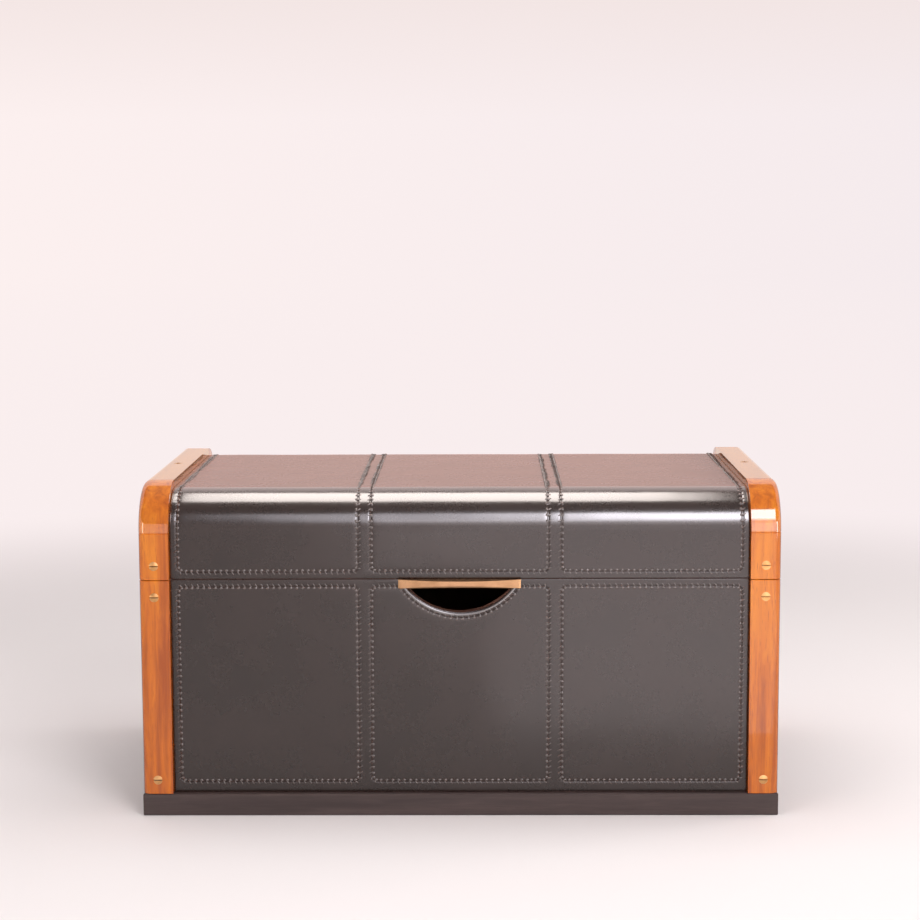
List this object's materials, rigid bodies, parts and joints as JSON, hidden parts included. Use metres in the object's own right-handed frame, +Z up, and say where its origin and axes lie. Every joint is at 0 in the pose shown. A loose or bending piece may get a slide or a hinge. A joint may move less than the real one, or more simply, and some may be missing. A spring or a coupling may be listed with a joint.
{
  "type": "storage trunk",
  "caption": "Leather-covered storage trunk with a hinged lid, rounded wooden end frames, a dark plinth, a half-moon finger cutout and a brass lip pull.",
  "frame": {"origin": "on the floor, at the middle of the plinth's footprint", "axes": "+X along the trunk to the right seen from the front, -Y towards the front, +Z up"},
  "size_m": [0.8, 0.4663, 0.4208],
  "materials": {
    "lacquered_wood": "gloss lacquer",
    "dark_stained_wood": "satin",
    "plywood": "raw",
    "dark_leather": "waxed",
    "lining_cloth": "brushed cotton",
    "brass": "polished"
  },
  "bodies": {
    "trunk_body": {"plinth_front": "dark_stained_wood", "plinth_back": "dark_stained_wood", "plinth_left": "dark_stained_wood", "plinth_right": "dark_stained_wood", "bottom_board": "plywood", "body_front_board": "plywood", "body_back_board": "plywood", "body_left_board": "plywood", "body_right_board": "plywood", "body_front_leather": "dark_leather", "body_back_leather": "dark_leather", "body_left_leather": "dark_leather", "body_right_leather": "dark_leather", "front_left_panel": "dark_leather", "front_centre_panel": "dark_leather", "front_right_panel": "dark_leather", "back_left_panel": "dark_leather", "back_centre_panel": "dark_leather", "back_right_panel": "dark_leather", "body_lining": "lining_cloth", "front_left_post": "lacquered_wood", "front_right_post": "lacquered_wood", "back_left_post": "lacquered_wood", "back_right_post": "lacquered_wood", "post_screws": "brass", "body_small_screws": "brass", "hinge_body_leaves": "brass", "hinge_pins": "brass", "stay_body_brackets": "brass"},
    "lid": {"lid_top_board": "plywood", "lid_front_bend": "plywood", "lid_back_bend": "plywood", "lid_left_board": "plywood", "lid_right_board": "plywood", "lid_leather": "dark_leather", "lid_left_panel": "dark_leather", "lid_centre_panel": "dark_leather", "lid_right_panel": "dark_leather", "lid_left_leather": "dark_leather", "lid_right_leather": "dark_leather", "lid_lining": "lining_cloth", "front_left_lid_post": "lacquered_wood", "front_right_lid_post": "lacquered_wood", "back_left_lid_post": "lacquered_wood", "back_right_lid_post": "lacquered_wood", "front_left_corner": "lacquered_wood", "front_right_corner": "lacquered_wood", "back_left_corner": "lacquered_wood", "back_right_corner": "lacquered_wood", "left_top_rail": "lacquered_wood", "right_top_rail": "lacquered_wood", "lid_frame_screws": "brass", "lid_small_screws": "brass", "lid_pull": "brass", "hinge_lid_leaves": "brass", "stay_lid_brackets": "brass"},
    "left_lower_arm": {"left_stay_lower_arm": "brass"},
    "left_upper_arm": {"left_stay_upper_arm": "brass"},
    "right_lower_arm": {"right_stay_lower_arm": "brass"},
    "right_upper_arm": {"right_stay_upper_arm": "brass"}
  },
  "joints": [
    {"name": "lid_hinge", "type": "hinge", "parent": "trunk_body", "child": "lid", "pos_m": [0, 0.231, 0.301], "axis": [-1, 0, 0], "range_deg": [0, 95]},
    {"name": "left_lower_arm_pivot", "type": "hinge", "parent": "trunk_body", "child": "left_lower_arm", "pos_m": [-0.371, 0.1544, 0.23672], "axis": [-1, 0, 0], "range_deg": [0, 95]},
    {"name": "left_upper_arm_pivot", "type": "hinge", "parent": "lid", "child": "left_upper_arm", "pos_m": [-0.368, 0.12207, 0.31631], "axis": [-1, 0, 0], "range_deg": [-95, 0]},
    {"name": "right_lower_arm_pivot", "type": "hinge", "parent": "trunk_body", "child": "right_lower_arm", "pos_m": [0.371, 0.1544, 0.23672], "axis": [-1, 0, 0], "range_deg": [0, 95]},
    {"name": "right_upper_arm_pivot", "type": "hinge", "parent": "lid", "child": "right_upper_arm", "pos_m": [0.368, 0.12207, 0.31631], "axis": [-1, 0, 0], "range_deg": [-95, 0]}
  ],
  "couplings": [
    {"joint": "left_lower_arm_pivot", "follows": "lid_hinge", "ratio": 1},
    {"joint": "left_upper_arm_pivot", "follows": "lid_hinge", "ratio": -1},
    {"joint": "right_lower_arm_pivot", "follows": "lid_hinge", "ratio": 1},
    {"joint": "right_upper_arm_pivot", "follows": "lid_hinge", "ratio": -1}
  ]
}
